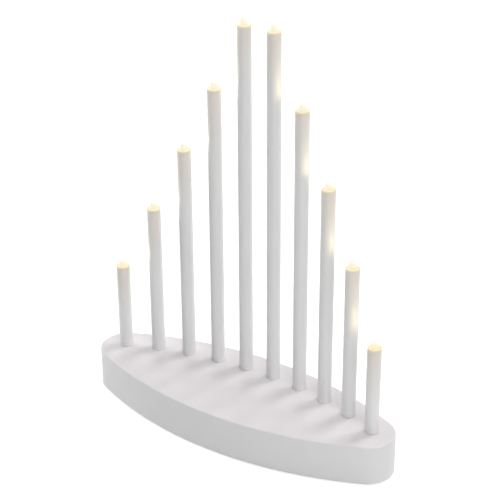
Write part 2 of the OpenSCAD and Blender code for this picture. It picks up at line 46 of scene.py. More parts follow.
MM = 0.001

# Row of tubes and lamps. Sizes are in millimetres, as in the part's source, up to the studio's
TUBE_COUNT = 10
TUBES = range(1, TUBE_COUNT + 1)
ROW_RADIUS = 268.0
LAMP_RADIUS = 2.5
LAMP_RISE = 6.0
LAMP_SEAT = 1.6
FLANGE_RADIUS = 2.9
FLANGE_HEIGHT = 1.0
FLANGE_EDGE = 0.15
DOME_STEPS = 14
LEG_PITCH = 2.54
LEG_THICKNESS = 0.5
LEG_EDGE = 0.05
LEG_TOP = 0.8
LEG_END = 5.0
# Glowing core of a lamp: radius, and height over the middle of its dome
CORE = ((0, -3.2), (0.7, -3.2), (1.3, -1.2), (1.35, 0), (1.0, 0.9), (0, 1.3))

# Battery bay and cells
CELLS = range(3)
CELL_RADIUS = 7.1
CELL_LENGTH = 50.5
CELL_PITCH = 15.0
CELL_Z = 10.4
BAY_HALF = 29.0
BAY_Y = -10.3577
CONTACT = 0.4
# Marks on a cell: name, text, distance from the positive end, letter height
CELL_MARKS = (("size", "AA  1.5 V", 30.0, 5.0), ("plus", "+", 8.5, 6.5), ("minus", "-", 44.5, 6.5))
INK_DEPTH = 0.02
INK_LIFT = 0.02
STRIPS = 10
STRIP_WIDTH = 0.4
SPRING_LENGTH = 6.7
SPRING_TURNS = 3.5
SPRING_STEPS = 120
SPRING_WIRE = 0.8
SPRING_WIDE = 4.4
SPRING_NARROW = 2.6

# Board, with the top of its plate at BOARD_OVER
BOARD_X = 56.0
BOARD_Y = BAY_Y
BOARD_OVER = 10.0
CHIP_LENGTH = 5.0
CHIP_WIDTH = 4.0
CHIP_UNDER = 0.12
CHIP_TOP = 1.58
CHIP_SIDE_PINS = 4
CHIP_PIN_PITCH = 1.27
CHIP_PIN_WIDTH = 0.4
# A pin is a shoulder, a drop and a foot: near and far end from the chip's middle, low and high
CHIP_PIN = ((1.95, 2.35, 0.72, 0.92), (2.2, 2.4, 0.03, 0.9), (2.25, 3.0, 0.01, 0.2))
CHIP_DOT = (-1.9, -1.4)
CHIP_DOT_RADIUS = 0.3
CHIP_DOT_DEPTH = 0.015
CRYSTAL_RISE = 1.0
CRYSTAL_FROM_CHIP = 6.0
CAPACITOR_FROM_CHIP = (9.0, -3.0)
RESISTORS = 3
RESISTOR_ROW = (-2.0, -8.0)
RESISTOR_PITCH = 4.5
RESISTOR_LENGTH = 3.2
RESISTOR_WIDTH = 1.6
RESISTOR_HEIGHT = 0.6
RESISTOR_END = 0.5
# Solder pads of the leads, from the middle of the board
LEAD_PADS = ((-6, 9), (6, 9), (-13, -8), (-9, 8))

# Underside
COVER_UNDER = 1.0
WORDS_FROM_SWITCH = 6.3
SWITCH_WORDS = (("OFF", -3.6), ("ON", 0.0), ("TIMER", 4.4))
WORD_HEIGHT = 1.9
WORD_DEPTH = 0.06
GRIP_RIBS = 6
GRIP_START = 21.0
GRIP_PITCH = 1.2
GRIP_RIB = 0.6
GRIP_HALF = 7.0
ARROW = ((18, -3.2), (18, 3.2), (12.5, 0))

# Camera, solved from the photograph: place in mm, angles in degrees
CAMERA_AT = (524.853, -778.126, 641.024)
CAMERA_AZIMUTH = 33.608
CAMERA_ELEVATION = 27.965
CAMERA_ROLL = -0.306
CAMERA_LENS = 111.481
SENSOR = 36.0

# Studio, in metres and watts. A soft box: name, azimuth, elevation, distance, size, power
SOFT_BOXES = (
    ("key_soft_box", 156, 46, 1.5, 0.6, 8.7),
    ("left_soft_box", -90, 14, 1.4, 0.7, 9.9),
    ("back_soft_box", -135, 30, 1.4, 0.8, 1.35),
    ("top_soft_box", 0, 89, 1.4, 1.0, 8.5),
    ("right_soft_box", 56, 25, 1.4, 0.8, 7.6))
AIM_HEIGHT = 0.12
WORLD_POWER = 0.05
WORLD_SEEN = 1.0
FLOOR_HALF = 4.0
FLOOR_BOUNCE = 0.13
FLOOR_NEAR = 0.52
FLOOR_FAR = 0.97
FLOOR_NEAR_END = 0.3
FLOOR_FAR_START = 1.1

# Light that a lamp throws on the next tube: it starts LAMP_CENTRE mm under the lamp's tip
LAMP_POWER = 0.0108
LAMP_BEAM = 136.0
LAMP_TILT = 56.0
LAMP_CENTRE = 3.8
LAMP_SOURCE = 1.2
LAMP_COLOR = (1.0, 0.82, 0.44)


# Meshes

def link(obj):
    SCENE.collection.objects.link(obj)
    return obj


def from_bmesh(name, bm, smooth=40.0):
    """A mesh object from a bmesh, smooth except at edges sharper than an angle."""
    mesh = bpy.data.meshes.new(name)
    bmesh.ops.recalc_face_normals(bm, faces=bm.faces)
    bm.to_mesh(mesh)
    bm.free()
    obj = link(bpy.data.objects.new(name, mesh))
    mesh.shade_smooth()
    mesh.set_sharp_from_angle(angle=math.radians(smooth))
    return obj


def lathe(name, profile, place, axis="Z", sides=48, smooth=40.0):
    """A turned body: profile is a list of (radius, height) in mm, from one end to the other."""
    bm = bmesh.new()
    rings = []
    for radius, height in profile:
        if radius == 0:
            rings.append([bm.verts.new((0, 0, height * MM))])
            continue
        rings.append([
            bm.verts.new((radius * MM * math.cos(math.tau * k / sides),
                          radius * MM * math.sin(math.tau * k / sides), height * MM))
            for k in range(sides)])
    for low, high in zip(rings, rings[1:]):
        for k in range(sides):
            a, b = low[k % len(low)], low[(k + 1) % len(low)]
            c, d = high[(k + 1) % len(high)], high[k % len(high)]
            corners = list(dict.fromkeys((a, b, c, d)))
            if len(corners) > 2:
                bm.faces.new(corners)
    for ring in (rings[0], rings[-1]):
        if len(ring) > 1:
            bm.faces.new(ring)
    turn = {"Z": Matrix(),
            "X": Matrix.Rotation(math.pi / 2, 4, "Y"),
            "-X": Matrix.Rotation(-math.pi / 2, 4, "Y")}[axis]
    bm.transform(Matrix.Translation(Vector(place) * MM) @ turn)
    return from_bmesh(name, bm, smooth)


def rounded_box(bm, low, high, edge, segments=2):
    """Adds a box from low to high, in mm, with rounded edges, to a bmesh."""
    size = [(b - a) * MM for a, b in zip(low, high)]
    middle = [(a + b) / 2 * MM for a, b in zip(low, high)]
    verts = bmesh.ops.create_cube(bm, size=1.0)["verts"]
    bmesh.ops.scale(bm, vec=size, verts=verts)
    bmesh.ops.translate(bm, vec=middle, verts=verts)
    edges = list({e for v in verts for e in v.link_edges})
    bmesh.ops.bevel(bm, geom=edges, offset=edge * MM, segments=segments, profile=0.5, affect="EDGES")


def boxes(name, items, edge):
    """One object from several rounded boxes, each given as its low and high corner."""
    bm = bmesh.new()
    for low, high in items:
        rounded_box(bm, low, high, edge)
    return from_bmesh(name, bm)


def round_wire(name, points, diameter, sides=6):
    """A round wire through points, in mm."""
    curve = bpy.data.curves.new(name, "CURVE")
    curve.dimensions = "3D"
    curve.bevel_depth = diameter / 2 * MM
    curve.bevel_resolution = sides
    curve.use_fill_caps = True
    spline = curve.splines.new("POLY")
    spline.points.add(len(points) - 1)
    for target, point in zip(spline.points, points):
        target.co = (*(Vector(point) * MM), 1)
    return link(bpy.data.objects.new(name, curve))


def words(name, text, place, size, turn, depth):
    """Flat lettering with a little depth, in mm, as a mesh."""
    curve = bpy.data.curves.new(name, "FONT")
    curve.body = text
    curve.size = size * MM
    curve.extrude = depth / 2 * MM
    curve.align_x = "CENTER"
    curve.align_y = "CENTER"
    obj = link(bpy.data.objects.new(name + "_text", curve))
    mesh = bpy.data.meshes.new_from_object(obj.evaluated_get(bpy.context.evaluated_depsgraph_get()))
    bpy.data.objects.remove(obj)
    mesh.name = name
    mesh.transform(Matrix.Translation(Vector(place) * MM) @ turn)
    return link(bpy.data.objects.new(name, mesh))


def wrap(obj, x, y, towards):
    """Cuts flat lettering into narrow strips and bends it round a cell's underside."""
    bm = bmesh.new()
    bm.from_mesh(obj.data)
    for k in range(-STRIPS, STRIPS + 1):
        bmesh.ops.bisect_plane(bm, geom=bm.verts[:] + bm.edges[:] + bm.faces[:],
                               plane_co=(0, k * STRIP_WIDTH * MM, 0), plane_no=(0, 1, 0))
    bm.to_mesh(obj.data)
    bm.free()
    for v in obj.data.vertices:
        angle = v.co.y / (CELL_RADIUS * MM)
        radius = (CELL_RADIUS + math.copysign(INK_LIFT, v.co.z)) * MM
        v.co = Vector((x * MM - towards * v.co.x,
                       y * MM + towards * radius * math.sin(angle),
                       CELL_Z * MM - radius * math.cos(angle)))


# Materials

class Paint:
    """A Principled material with short ways to add nodes to it."""

    def __init__(self, name, color, roughness, metallic=0.0):
        self.material = bpy.data.materials.new(name)
        self.material.use_nodes = True
        self.tree = self.material.node_tree
        self.shader = self.tree.nodes["Principled BSDF"]
        self.set("Base Color", (*color, 1))
        self.set("Roughness", roughness)
        self.set("Metallic", metallic)
        self.place = self.tree.nodes.new("ShaderNodeTexCoord").outputs["Object"]

    def set(self, socket, value):
        self.shader.inputs[socket].default_value = value

    def plug(self, output, socket):
        self.tree.links.new(output, self.shader.inputs[socket])

    def node(self, kind, inputs=(), **settings):
        """A new node, with sockets or plain values on its inputs."""
        node = self.tree.nodes.new("ShaderNode" + kind)
        for key, value in settings.items():
            setattr(node, key, value)
        for socket, value in dict(inputs).items():
            if isinstance(value, bpy.types.NodeSocket):
                self.tree.links.new(value, node.inputs[socket])
            else:
                node.inputs[socket].default_value = value
        return node

    def stretched(self, scale):
        return self.node("Mapping", {"Vector": self.place, "Scale": scale}).outputs["Vector"]

    def noise(self, scale, detail, stretch=None):
        vector = self.stretched(stretch) if stretch else self.place
        return self.node("TexNoise", {"Vector": vector, "Scale": scale, "Detail": detail,
                                      "Roughness": 0.5}).outputs["Fac"]

    def math(self, operation, a, b):
        return self.node("Math", {0: a, 1: b}, operation=operation).outputs[0]

    def between(self, value, low, high):
        """Maps 0..1 onto low..high."""
        return self.node("MapRange", {"Value": value, "To Min": low, "To Max": high}).outputs["Result"]

    def band(self, value, start, end):
        """0 at start, 1 at end, smooth between."""
        return self.node("MapRange", {"Value": value, "From Min": start, "From Max": end},
                         interpolation_type="SMOOTHSTEP").outputs["Result"]

    def mix(self, factor, a, b, blend="MIX"):
        """A colour between two colours or sockets."""
        node = self.tree.nodes.new("ShaderNodeMix")
        node.data_type = "RGBA"
        node.blend_type = blend
        for index, value in ((0, factor), (6, a), (7, b)):
            if isinstance(value, bpy.types.NodeSocket):
                self.tree.links.new(value, node.inputs[index])
            elif index:
                node.inputs[index].default_value = (*value, 1)
            else:
                node.inputs[index].default_value = value
        return node.outputs[2]

    def bump(self, height, strength, distance):
        node = self.node("Bump", {"Height": height, "Strength": strength, "Distance": distance * MM})
        self.plug(node.outputs["Normal"], "Normal")

    def up(self):
        """How far the surface faces up."""
        normal = self.node("NewGeometry").outputs["Normal"]
        return self.node("SeparateXYZ", {"Vector": normal}).outputs["Z"]

    def along(self, axis):
        return self.node("SeparateXYZ", {"Vector": self.place}).outputs[axis]


def case_plastic():
    """Matte moulded plastic: fine grain and faint clouding, with painted light on top: the up-facing
    top is painted a shade warmer than the sides, a painted tint of the light falling on it.
    """
    side, top = (0.77, 0.77, 0.77), (0.79, 0.76, 0.768)
    paint = Paint("case_white", side, 0.46)
    # Painted light: faces that turn up get the warmer top colour, faces that turn sideways keep the
    # plain side colour.
    base = paint.mix(paint.band(paint.up(), 0.85, 0.99), side, top)
    clouds = paint.mix(paint.noise(28, 3), (0.985, 0.985, 0.985), (1.0, 1.0, 1.0))
    paint.plug(paint.mix(1.0, base, clouds, "MULTIPLY"), "Base Color")
    paint.plug(paint.between(paint.noise(900, 2), 0.40, 0.52), "Roughness")
    paint.bump(paint.noise(2600, 3), 0.10, 0.04)
    return paint


def tube_paint(name, top):
    """Sprayed white paint on a drawn tube: faint lengthwise streaks and orange peel. Painted light: the
    foot is painted lighter, as painted bounce light from the base, and the end below the cap gets a
    painted warm glow of lamp light. The tube ends at top, in m."""
    paint = Paint(name, (0.78, 0.78, 0.78), 0.42)
    streaks = paint.noise(700, 2, stretch=(1, 1, 0.01))
    clouds = paint.noise(60, 2, stretch=(1, 1, 0.25))
    both = paint.math("ADD", paint.math("MULTIPLY", streaks, 0.5), paint.math("MULTIPLY", clouds, 0.5))
    white = paint.mix(both, (0.745, 0.745, 0.745), (0.78, 0.778, 0.775))
    height = paint.along("Z")
    # Painted bounce light: the paint is made lighter towards the foot, where the base's top throws
    # light up.
    white = paint.mix(paint.band(height, 0.130, 0.024), white, (0.84, 0.84, 0.838))
    # Painted glow: a warm tint near the top end stands in for the lamp's light on the tube below the
    # cap.
    lamp_glow_near_end = paint.math("POWER", paint.band(height, top - 0.060, top + 0.006), 2.0)
    paint.plug(paint.mix(lamp_glow_near_end, white, (0.77, 0.722, 0.652)), "Base Color")
    paint.plug(paint.between(paint.noise(500, 3), 0.34, 0.44), "Roughness")
    paint.bump(paint.noise(1500, 2), 0.05, 0.02)
    return paint


def lit_holder():
    """Translucent cap with a painted glow: emission stands in for the lamp's light through it, painted
    bright on the up-facing top and dimmer and browner round its side.
    """
    paint = Paint("lit_holder", (0.30, 0.27, 0.20), 0.45)
    facing = paint.band(paint.up(), 0.1, 0.9)
    grain = paint.between(paint.noise(900, 3), 0.9, 1.05)
    # Painted glow: the emission is a stand-in for lamp light in the cap, stronger where the surface
    # faces up.
    paint.plug(paint.mix(facing, (0.80, 0.69, 0.44), (0.90, 0.76, 0.47)), "Emission Color")
    paint.plug(paint.math("MULTIPLY", grain, paint.between(facing, 0.60, 0.65)), "Emission Strength")
    paint.bump(paint.noise(2200, 2), 0.08, 0.03)
    return paint


def lamp_epoxy():
    """Clear cast epoxy, full of warm light and a little hazy: whiter at the tip than at the sides."""
    paint = Paint("lamp_epoxy", (0.27, 0.26, 0.23), 0.12)
    paint.set("Transmission Weight", 0.10)
    paint.set("IOR", 1.5)
    haze = paint.between(paint.noise(1200, 2), 0.92, 1.05)
    tip = paint.mix(haze, (1.0, 0.965, 0.88), (1.0, 0.98, 0.92))
    paint.plug(paint.mix(paint.band(paint.up(), -0.1, 0.5), (0.95, 0.88, 0.69), tip), "Emission Color")
    paint.plug(paint.math("MULTIPLY", haze, 0.66), "Emission Strength")
    return paint


def lamp_glow():
    """The phosphor and the cone of light above it, inside the lamp."""
    paint = Paint("lamp_glow", (0.9, 0.8, 0.4), 0.5)
    paint.plug(paint.mix(paint.noise(1500, 2), (1.0, 0.86, 0.52), (1.0, 0.93, 0.70)), "Emission Color")
    paint.set("Emission Strength", 1.0)
    return paint


def metal(name, color, roughness, grain=900.0, stretch=(1, 1, 1)):
    """Plated metal with fine grain and uneven gloss."""
    paint = Paint(name, color, roughness, 1.0)
    streaks = paint.noise(grain, 3, stretch=stretch)
    darker = [0.86 * v for v in color]
    paint.plug(paint.mix(streaks, darker, color), "Base Color")
    paint.plug(paint.between(streaks, roughness - 0.07, roughness + 0.09), "Roughness")
    paint.bump(streaks, 0.12, 0.02)
    return paint


def plastic(name, color, roughness, grain, spread=0.10):
    """Small moulded or printed parts: a little unevenness in colour, gloss and surface."""
    paint = Paint(name, color, roughness)
    clouds = paint.noise(grain / 4, 3)
    darker = [v * (1 - spread) for v in color]
    lighter = [min(1.0, v * (1 + spread)) for v in color]
    paint.plug(paint.mix(clouds, darker, lighter), "Base Color")
    paint.plug(paint.between(paint.noise(grain, 2), roughness - 0.06, roughness + 0.08), "Roughness")
    paint.bump(paint.noise(grain * 1.5, 2), 0.12, 0.03)
    return paint


def rubber(name, color):
    """Dull rubber: chalky bloom, fine pits, no shine."""
    paint = Paint(name, color, 0.8)
    bloom = paint.noise(350, 4)
    paint.plug(paint.mix(bloom, [0.75 * v for v in color], [1.25 * v for v in color]), "Base Color")
    pits = paint.node("TexVoronoi", {"Vector": paint.place, "Scale": 1800.0}).outputs["Distance"]
    paint.plug(paint.between(bloom, 0.72, 0.92), "Roughness")
    paint.bump(pits, 0.25, 0.05)
    return paint


def board_mask():
    """Green solder mask over copper tracks, which show as lighter lines."""
    paint = Paint("board_mask", (0.02, 0.16, 0.06), 0.32)
    black, white = (0, 0, 0, 1), (1, 1, 1, 1)
    tracks = paint.node("TexBrick", {"Vector": paint.stretched((1, 1, 0)), "Scale": 260.0,
                                     "Mortar Size": 0.06, "Mortar Smooth": 0.1, "Color1": black,
                                     "Color2": black, "Mortar": white}).outputs["Color"]
    clouds = paint.noise(200, 2)
    mask = paint.mix(clouds, (0.012, 0.12, 0.045), (0.02, 0.17, 0.065))
    paint.plug(paint.mix(paint.math("MULTIPLY", tracks, 0.6), mask, (0.07, 0.30, 0.12)), "Base Color")
    paint.plug(paint.between(clouds, 0.26, 0.4), "Roughness")
    paint.bump(tracks, 0.35, 0.05)
    return paint


def cell_sleeve(name, towards):
    """Printed sleeve of a cell: dark body, copper-coloured band at the positive end."""
    paint = Paint(name, (0.03, 0.035, 0.045), 0.28)
    band = paint.band(paint.math("MULTIPLY", paint.along("X"), towards), 0.0095, 0.0098)
    fine = paint.noise(500, 3)
    body = paint.mix(fine, (0.022, 0.025, 0.034), (0.04, 0.045, 0.058))
    copper = paint.mix(fine, (0.55, 0.27, 0.11), (0.66, 0.34, 0.15))
    paint.plug(paint.mix(band, body, copper), "Base Color")
    paint.plug(paint.between(band, 0.0, 0.85), "Metallic")
    paint.plug(paint.between(fine, 0.24, 0.36), "Roughness")
    paint.bump(paint.noise(260, 2), 0.08, 0.05)
    return paint


def backdrop_rays(tree):
    """1 for rays that show the backdrop: straight, mirrored or through glass. 0 for light."""
    rays = tree.nodes.new("ShaderNodeLightPath").outputs
    total = rays["Is Camera Ray"]
    for other in ("Is Glossy Ray", "Is Transmission Ray"):
        larger = tree.nodes.new("ShaderNodeMath")
        larger.operation = "MAXIMUM"
        tree.links.new(total, larger.inputs[0])
        tree.links.new(rays[other], larger.inputs[1])
        total = larger.outputs[0]
    return total


def white_floor():
    """Pale studio floor, lit to white except in the object's shadow; clear when seen from below."""
    paint = Paint("white_floor", (0.9, 0.9, 0.9), 0.9)
    paint.plug(paint.mix(paint.noise(6, 2), (0.88, 0.88, 0.88), (0.90, 0.90, 0.90)), "Base Color")
    paint.set("Specular IOR Level", 0.0)
    paint.set("Emission Color", (1, 1, 1, 1))
    away = paint.node("VectorMath", {0: paint.place}, operation="LENGTH").outputs["Value"]
    far = paint.band(away, FLOOR_NEAR_END, FLOOR_FAR_START)
    shown = paint.math("MULTIPLY", paint.between(far, FLOOR_NEAR, FLOOR_FAR), backdrop_rays(paint.tree))
    paint.plug(paint.math("MAXIMUM", shown, FLOOR_BOUNCE), "Emission Strength")
    clear = paint.node("BsdfTransparent").outputs[0]
    under = paint.node("NewGeometry").outputs["Backfacing"]
    one_sided = paint.node("MixShader", {0: under, 1: paint.shader.outputs[0], 2: clear}).outputs[0]
    paint.tree.links.new(one_sided, paint.tree.nodes["Material Output"].inputs["Surface"])
    return paint


def paint_on(obj, paint):
    obj.data.materials.clear()
    obj.data.materials.append(paint.material)
    return obj


# Pieces

def dress(piece, paint, body="holder", replaces=None):
    paint_on(piece, paint)
    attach(piece, body)
    if replaces:
        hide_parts(replaces)
    return piece


def lamp(i, epoxy, glow, leads):
    """One lamp: a dome on its flange, the glowing core inside, and two legs. Returns its tip."""
    low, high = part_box("led_%d" % i)
    x, y = (low[0] + high[0]) / 2 / MM, (low[1] + high[1]) / 2 / MM
    top = high[2] / MM
    seat = top - LAMP_RISE - LAMP_SEAT
    dome_centre = top - LAMP_RADIUS
    profile = [(0, seat - FLANGE_HEIGHT),
               (FLANGE_RADIUS - FLANGE_EDGE, seat - FLANGE_HEIGHT),
               (FLANGE_RADIUS, seat - FLANGE_HEIGHT + FLANGE_EDGE),
               (FLANGE_RADIUS, seat - FLANGE_EDGE),
               (FLANGE_RADIUS - FLANGE_EDGE, seat),
               (LAMP_RADIUS, seat + 0.02)]
    for k in range(DOME_STEPS):
        angle = math.pi / 2 * k / DOME_STEPS
        profile.append((LAMP_RADIUS * math.cos(angle), dome_centre + LAMP_RADIUS * math.sin(angle)))
    profile.append((0, top))
    dome = lathe("lamp_dome_%d" % i, profile, (x, y, 0), sides=40, smooth=50)
    dress(dome, epoxy, replaces="led_%d" % i)
    core_profile = [(radius, dome_centre + rise) for radius, rise in CORE]
    core = lathe("lamp_glow_%d" % i, core_profile, (x, y, 0), sides=24, smooth=60)
    dress(core, glow)
    dome.visible_shadow = False
    core.visible_shadow = False
    dress(lamp_legs(i, x, y, seat), leads)
    return Vector((x * MM, y * MM, high[2]))


def lamp_legs(i, x, y, seat):
    """Two square legs, turned with the tube's place on the arc."""
    half = LEG_THICKNESS / 2
    bm = bmesh.new()
    for side in (-1, 1):
        middle = side * LEG_PITCH / 2
        rounded_box(bm, (-half, middle - half, seat - LEG_END),
                    (half, middle + half, seat - LEG_TOP), LEG_EDGE, 1)
    turn = Matrix.Rotation(-math.asin(x / ROW_RADIUS), 4, "Z")
    bm.transform(Matrix.Translation((x * MM, y * MM, 0)) @ turn)
    return from_bmesh("lamp_legs_%d" % i, bm)


def cell(k, metal_paint, print_paint, ring_paint):
    """One AA cell: sleeve, positive nub with its insulating ring, flat end, and its marks."""
    towards = 1 if k % 2 == 0 else -1
    y = BAY_Y + (k - 1) * CELL_PITCH
    start = towards * (BAY_HALF - CONTACT)
    r, end = CELL_RADIUS, CELL_LENGTH
    name = "cell_%d" % (k + 1)
    # Each turned piece: its name, profile, sides and sharp angle
    turned = {
        "_sleeve": ([(4.6, 1.05), (r - 0.75, 1.0), (r - 0.3, 1.12), (r - 0.05, 1.4), (r, 1.75),
                     (r, 2.6), (r - 0.06, 3.0), (r, 3.4), (r, end - 1.9), (r - 0.05, end - 0.9),
                     (r - 0.35, end - 0.45), (r - 0.9, end - 0.25)], 64, 35),
        "_positive": ([(0, 0), (2.3, 0), (2.6, 0.12), (2.7, 0.4), (2.7, 0.9), (3.1, 1.06),
                       (3.9, 1.1)], 40, 30),
        "_ring": ([(3.8, 1.12), (3.8, 0.98), (4.8, 0.98), (4.8, 1.12)], 40, 30),
        "_negative": ([(r - 0.8, end - 0.3), (5.4, end - 0.1), (5.2, end), (0, end)], 40, 30)}
    piece = {part: lathe(name + part, profile, (start, y, CELL_Z), "-X" if towards > 0 else "X",
                         sides, smooth)
             for part, (profile, sides, smooth) in turned.items()}
    dress(piece["_sleeve"], cell_sleeve(name + "_sleeve", towards),
          replaces="battery_%d" % (k + 1))
    dress(piece["_positive"], metal_paint)
    dress(piece["_ring"], ring_paint)
    dress(piece["_negative"], metal_paint)
    for mark, text, along, size in CELL_MARKS:
        label = words("%s_mark_%s" % (name, mark), text, (0, 0, 0), size, Matrix(), INK_DEPTH)
        wrap(label, start - towards * along, y, towards)
        dress(label, print_paint)


def spring(k, paint):
    """One conical contact spring."""
    towards = 1 if k % 2 == 0 else -1
    y = BAY_Y + (k - 1) * CELL_PITCH
    foot = -towards * (BAY_HALF - CONTACT)
    points = []
    for j in range(SPRING_STEPS + 1):
        t = j / SPRING_STEPS
        radius = SPRING_WIDE + (SPRING_NARROW - SPRING_WIDE) * t
        turn = math.tau * SPRING_TURNS * t
        height = SPRING_WIRE / 2 + (SPRING_LENGTH - SPRING_WIRE) * t
        points.append((foot + towards * height, y + radius * math.sin(turn),
                       CELL_Z - towards * radius * math.cos(turn)))
    return dress(round_wire("spring_%d" % (k + 1), points, SPRING_WIRE), paint)


def chip_pieces(chip_paint, tin):
    """The timer chip: body, eight bent legs and the dot at leg one."""
    x, y, z = BOARD_X, BOARD_Y, BOARD_OVER
    body = boxes("chip_body", [((x - CHIP_LENGTH / 2, y - CHIP_WIDTH / 2, z + CHIP_UNDER),
                                (x + CHIP_LENGTH / 2, y + CHIP_WIDTH / 2, z + CHIP_TOP))], 0.16)
    dress(body, chip_paint, replaces="timer_chip")
    legs = []
    for k in range(CHIP_SIDE_PINS):
        left = x + (k - (CHIP_SIDE_PINS - 1) / 2) * CHIP_PIN_PITCH - CHIP_PIN_WIDTH / 2
        for side in (-1, 1):
            for near, far, low, high in CHIP_PIN:
                ends = sorted((y + side * near, y + side * far))
                legs.append(((left, ends[0], z + low), (left + CHIP_PIN_WIDTH, ends[1], z + high)))
    dress(boxes("chip_legs", legs, 0.04), tin)
    low = z + CHIP_TOP - 0.005
    high = low + CHIP_DOT_DEPTH
    dot = lathe("chip_dot", [(0, low), (CHIP_DOT_RADIUS, low), (CHIP_DOT_RADIUS, high), (0, high)],
                (x + CHIP_DOT[0], y + CHIP_DOT[1], 0), sides=20)
    dress(dot, tin)


def can_pieces(tin):
    """The crystal's lying can and the capacitor's standing one, with its rolled groove."""
    x, y, z = BOARD_X, BOARD_Y, BOARD_OVER
    crystal = [(0, -3), (0.85, -3), (1, -2.85), (1, 2.5), (0.92, 2.6), (0.92, 2.8), (1, 2.85),
               (0.95, 3), (0, 3)]
    place = (x, y + CRYSTAL_FROM_CHIP, z + CRYSTAL_RISE)
    dress(lathe("crystal_can", crystal, place, "X", 32, 30), tin)
    capacitor = [(0, 0), (2.3, 0), (2.5, 0.2), (2.5, 0.9), (2.38, 1.1), (2.5, 1.35), (2.5, 6.6),
                 (2.3, 6.9), (2.0, 6.95), (1.9, 6.9), (0, 6.9)]
    place = (x + CAPACITOR_FROM_CHIP[0], y + CAPACITOR_FROM_CHIP[1], 0)
    can = lathe("capacitor_can", [(radius, z + rise) for radius, rise in capacitor], place,
                sides=40, smooth=30)
    dress(can, tin, replaces="board_parts")


def resistor_pieces(ceramic, tin):
    """Three chip resistors with tinned ends."""
    z = BOARD_OVER
    bodies, ends = [], []
    for k in range(RESISTORS):
        x = BOARD_X + RESISTOR_ROW[0] + (k - 1) * RESISTOR_PITCH
        y = BOARD_Y + RESISTOR_ROW[1]
        bodies.append(((x + 0.45, y, z + 0.02),
                       (x + RESISTOR_LENGTH - 0.45, y + RESISTOR_WIDTH, z + RESISTOR_HEIGHT)))
        for left in (x, x + RESISTOR_LENGTH - RESISTOR_END):
            ends.append(((left, y + 0.02, z),
                         (left + RESISTOR_END, y + RESISTOR_WIDTH - 0.02, z + RESISTOR_HEIGHT - 0.02)))
    dress(boxes("resistor_bodies", bodies, 0.05), ceramic)
    dress(boxes("resistor_ends", ends, 0.08), tin)


def solder_pads(tin):
    """A cone of solder round each lead."""
    z = BOARD_OVER
    cone = [(0, z), (1.3, z), (1.25, z + 0.05), (0.95, z + 0.3), (0.7, z + 0.8), (0, z + 1.1)]
    for k, (dx, dy) in enumerate(LEAD_PADS, 1):
        pad = lathe("lead_pad_%d" % k, cone, (BOARD_X + dx, BOARD_Y + dy, 0), sides=28, smooth=60)
        dress(pad, tin)


def switch_words(ink):
    """Printed words beside the switch, one for each place of the knob."""
    face_down = Matrix.Rotation(math.pi, 4, "X")
    for text, dx in SWITCH_WORDS:
        place = (BOARD_X + dx, BOARD_Y - WORDS_FROM_SWITCH, COVER_UNDER)
        mark = words("switch_word_" + text.lower(), text, place, WORD_HEIGHT, face_down, WORD_DEPTH)
        dress(mark, ink)


def door_grip(paint):
    """Ribs for a finger near the free edge of the battery door."""
    ribs = []
    for k in range(GRIP_RIBS):
        x = GRIP_START + k * GRIP_PITCH
        ribs.append(((x, BAY_Y - GRIP_HALF, COVER_UNDER - 0.3),
                     (x + GRIP_RIB, BAY_Y + GRIP_HALF, COVER_UNDER + 0.1)))
    dress(boxes("door_grip", ribs, 0.12), paint, body="door")


def door_arrow(paint):
    """A raised arrow on the battery door that points away from the latch."""
    bm = bmesh.new()
    for level in (COVER_UNDER - 0.25, COVER_UNDER + 0.05):
        bm.faces.new([bm.verts.new((x * MM, (BAY_Y + y) * MM, level * MM)) for x, y in ARROW])
    bm.verts.ensure_lookup_table()
    for a in range(3):
        b = (a + 1) % 3
        bm.faces.new((bm.verts[a], bm.verts[b], bm.verts[b + 3], bm.verts[a + 3]))
    dress(from_bmesh("door_arrow", bm, 20), paint, body="door")


# Camera, floor and light

def towards_viewer(azimuth, elevation):
    """Direction from the middle of the part towards a viewer, from angles in degrees."""
    a, e = math.radians(azimuth), math.radians(elevation)
    return Vector((math.sin(a) * math.cos(e), -math.cos(a) * math.cos(e), math.sin(e)))


def make_camera():
    back = towards_viewer(CAMERA_AZIMUTH, CAMERA_ELEVATION)
    right = Vector((0, 0, 1)).cross(back).normalized()
    up = back.cross(right)
    roll = math.radians(CAMERA_ROLL)
    side = math.cos(roll) * right + math.sin(roll) * up
    top = -math.sin(roll) * right + math.cos(roll) * up
    data = bpy.data.cameras.new("camera")
    data.lens = CAMERA_LENS
    data.sensor_width = SENSOR
    camera = link(bpy.data.objects.new("camera", data))
    turn = Matrix((side, top, back)).transposed().to_4x4()
    camera.matrix_world = Matrix.Translation(Vector(CAMERA_AT) * MM) @ turn
    SCENE.camera = camera


def floor():
    bm = bmesh.new()
    corners = ((-1, -1), (1, -1), (1, 1), (-1, 1))
    bm.faces.new([bm.verts.new((x * FLOOR_HALF, y * FLOOR_HALF, 0)) for x, y in corners])
    paint_on(from_bmesh("floor", bm), white_floor())


def world_light():
    """Even white light from all round; straight views of it are white."""
    world = bpy.data.worlds.new("studio")
    SCENE.world = world
    world.use_nodes = True
    tree = world.node_tree
    light = tree.nodes["Background"]
    seen = tree.nodes.new("ShaderNodeBackground")
    for background, strength in ((light, WORLD_POWER), (seen, WORLD_SEEN)):
        background.inputs["Color"].default_value = (1, 1, 1, 1)
        background.inputs["Strength"].default_value = strength
    pick = tree.nodes.new("ShaderNodeMixShader")
    tree.links.new(backdrop_rays(tree), pick.inputs[0])
    tree.links.new(light.outputs[0], pick.inputs[1])
    tree.links.new(seen.outputs[0], pick.inputs[2])
    tree.links.new(pick.outputs[0], tree.nodes["World Output"].inputs["Surface"])


